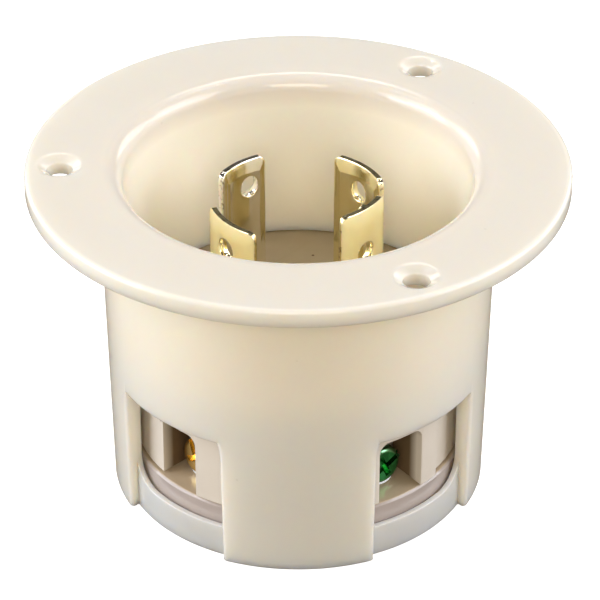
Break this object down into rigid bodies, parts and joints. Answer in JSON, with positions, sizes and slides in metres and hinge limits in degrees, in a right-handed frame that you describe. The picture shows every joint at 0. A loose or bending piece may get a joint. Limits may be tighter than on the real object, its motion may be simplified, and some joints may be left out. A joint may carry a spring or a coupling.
{
  "type": "flanged locking power inlet",
  "caption": "Round-flanged panel power inlet: curved locking blades in a deep cup, grey contact carrier, clear rear cover and screw terminals seen through side windows.",
  "frame": {"origin": "centre of the inlet's axis in the plane of its leg ends, the lowest points", "axes": "+Z along the inlet's axis from the wire end to the flange face; -Y is the side seen in the picture, +X to its right"},
  "size_m": [0.0824, 0.0824, 0.0545],
  "materials": {
    "ivory_nylon": "satin ivory moulded nylon, slightly translucent",
    "grey_carrier": "matt warm grey thermoplastic",
    "clear_cover": "clear polycarbonate",
    "blade_brass": "stamped bright brass",
    "nickel_plated": "bright nickel plate",
    "screw_brass": "bright turned brass",
    "green_steel": "glossy green dyed plating",
    "zinc_plated": "zinc plate"
  },
  "bodies": {
    "inlet": {"flange_housing": "ivory_nylon", "front_carrier": "grey_carrier", "rear_carrier": "grey_carrier", "rear_cover": "clear_cover", "rear_screw_left": "zinc_plated", "rear_screw_right": "zinc_plated", "blade_line_x": "blade_brass", "blade_ground": "blade_brass", "blade_line_y": "blade_brass", "blade_neutral": "nickel_plated", "terminal_line_x": "blade_brass", "terminal_ground": "blade_brass", "terminal_line_y": "blade_brass", "terminal_neutral": "nickel_plated"},
    "clamp_line_x_body": {"clamp_line_x": "zinc_plated"},
    "screw_line_x_body": {"screw_line_x": "screw_brass"},
    "clamp_ground_body": {"clamp_ground": "zinc_plated"},
    "screw_ground_body": {"screw_ground": "green_steel"},
    "clamp_line_y_body": {"clamp_line_y": "zinc_plated"},
    "screw_line_y_body": {"screw_line_y": "screw_brass"},
    "clamp_neutral_body": {"clamp_neutral": "zinc_plated"},
    "screw_neutral_body": {"screw_neutral": "nickel_plated"}
  },
  "joints": [
    {"name": "clamp_line_x_slide", "type": "slide", "parent": "inlet", "child": "clamp_line_x_body", "axis": [-0.7071, -0.7071, 0], "range_m": [0, 0.002]},
    {"name": "screw_line_x_turn", "type": "hinge", "parent": "clamp_line_x_body", "child": "screw_line_x_body", "pos_m": [-0.01421, -0.01421, 0.0113], "axis": [-0.7071, -0.7071, 0], "range_deg": [0, 900]},
    {"name": "clamp_ground_slide", "type": "slide", "parent": "inlet", "child": "clamp_ground_body", "axis": [0.5948, -0.8039, 0], "range_m": [0, 0.002]},
    {"name": "screw_ground_turn", "type": "hinge", "parent": "clamp_ground_body", "child": "screw_ground_body", "pos_m": [0.01196, -0.01616, 0.0113], "axis": [0.5948, -0.8039, 0], "range_deg": [0, 900]},
    {"name": "clamp_line_y_slide", "type": "slide", "parent": "inlet", "child": "clamp_line_y_body", "axis": [0.7071, 0.7071, 0], "range_m": [0, 0.002]},
    {"name": "screw_line_y_turn", "type": "hinge", "parent": "clamp_line_y_body", "child": "screw_line_y_body", "pos_m": [0.01421, 0.01421, 0.0113], "axis": [0.7071, 0.7071, 0], "range_deg": [0, 900]},
    {"name": "clamp_neutral_slide", "type": "slide", "parent": "inlet", "child": "clamp_neutral_body", "axis": [-0.5948, 0.8039, 0], "range_m": [0, 0.002]},
    {"name": "screw_neutral_turn", "type": "hinge", "parent": "clamp_neutral_body", "child": "screw_neutral_body", "pos_m": [-0.01196, 0.01616, 0.0113], "axis": [-0.5948, 0.8039, 0], "range_deg": [0, 900]}
  ],
  "couplings": [
    {"joint": "screw_line_x_turn", "follows": "clamp_line_x_slide", "rad_per_m": 7853.9},
    {"joint": "screw_ground_turn", "follows": "clamp_ground_slide", "rad_per_m": 7853.9},
    {"joint": "screw_line_y_turn", "follows": "clamp_line_y_slide", "rad_per_m": 7853.9},
    {"joint": "screw_neutral_turn", "follows": "clamp_neutral_slide", "rad_per_m": 7853.9}
  ]
}
